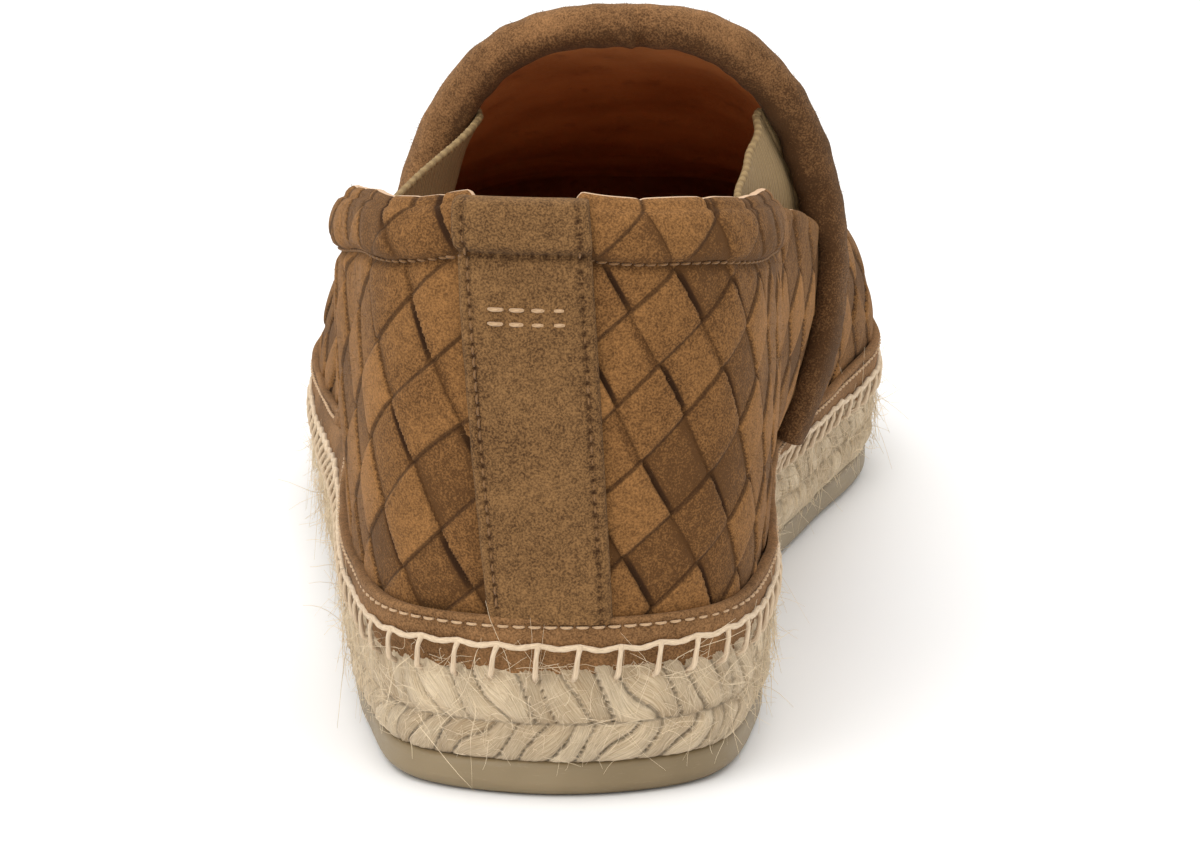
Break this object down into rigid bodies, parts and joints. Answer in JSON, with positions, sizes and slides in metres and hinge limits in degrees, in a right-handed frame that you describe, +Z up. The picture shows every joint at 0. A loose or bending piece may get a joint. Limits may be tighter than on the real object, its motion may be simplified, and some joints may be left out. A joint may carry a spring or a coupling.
{
  "type": "espadrille shoe",
  "caption": "Slip-on espadrille for a left foot: woven suede upper with a padded throat edge, elastic gussets and a heel strip on a braided jute sole with a rubber outsole",
  "frame": {"origin": "centre of the shoe's footprint box, on the floor", "axes": "+Y from heel to toe, +X towards the big-toe side, +Z up"},
  "size_m": [0.1052, 0.291, 0.1071],
  "materials": {
    "rubber": "olive gum rubber, slightly translucent, satin",
    "jute": "natural braided jute, hairy",
    "lining_leather": "smooth cognac leather, lightly creased",
    "woven_suede": "tan suede strips in a diagonal plain weave, napped",
    "foxing_suede": "tan suede, napped",
    "strip_suede": "tan suede, napped, stitched along both edges",
    "binding_suede": "dark tan suede, padded",
    "elastic": "ribbed khaki elastic"
  },
  "bodies": {
    "root": {"outsole": "rubber", "jute_midsole": "jute", "insole": "lining_leather", "upper": "woven_suede", "foxing_band": "foxing_suede", "heel_strip": "strip_suede", "vamp_binding": "binding_suede", "elastic_outer": "elastic", "elastic_inner": "elastic"}
  },
  "joints": []
}
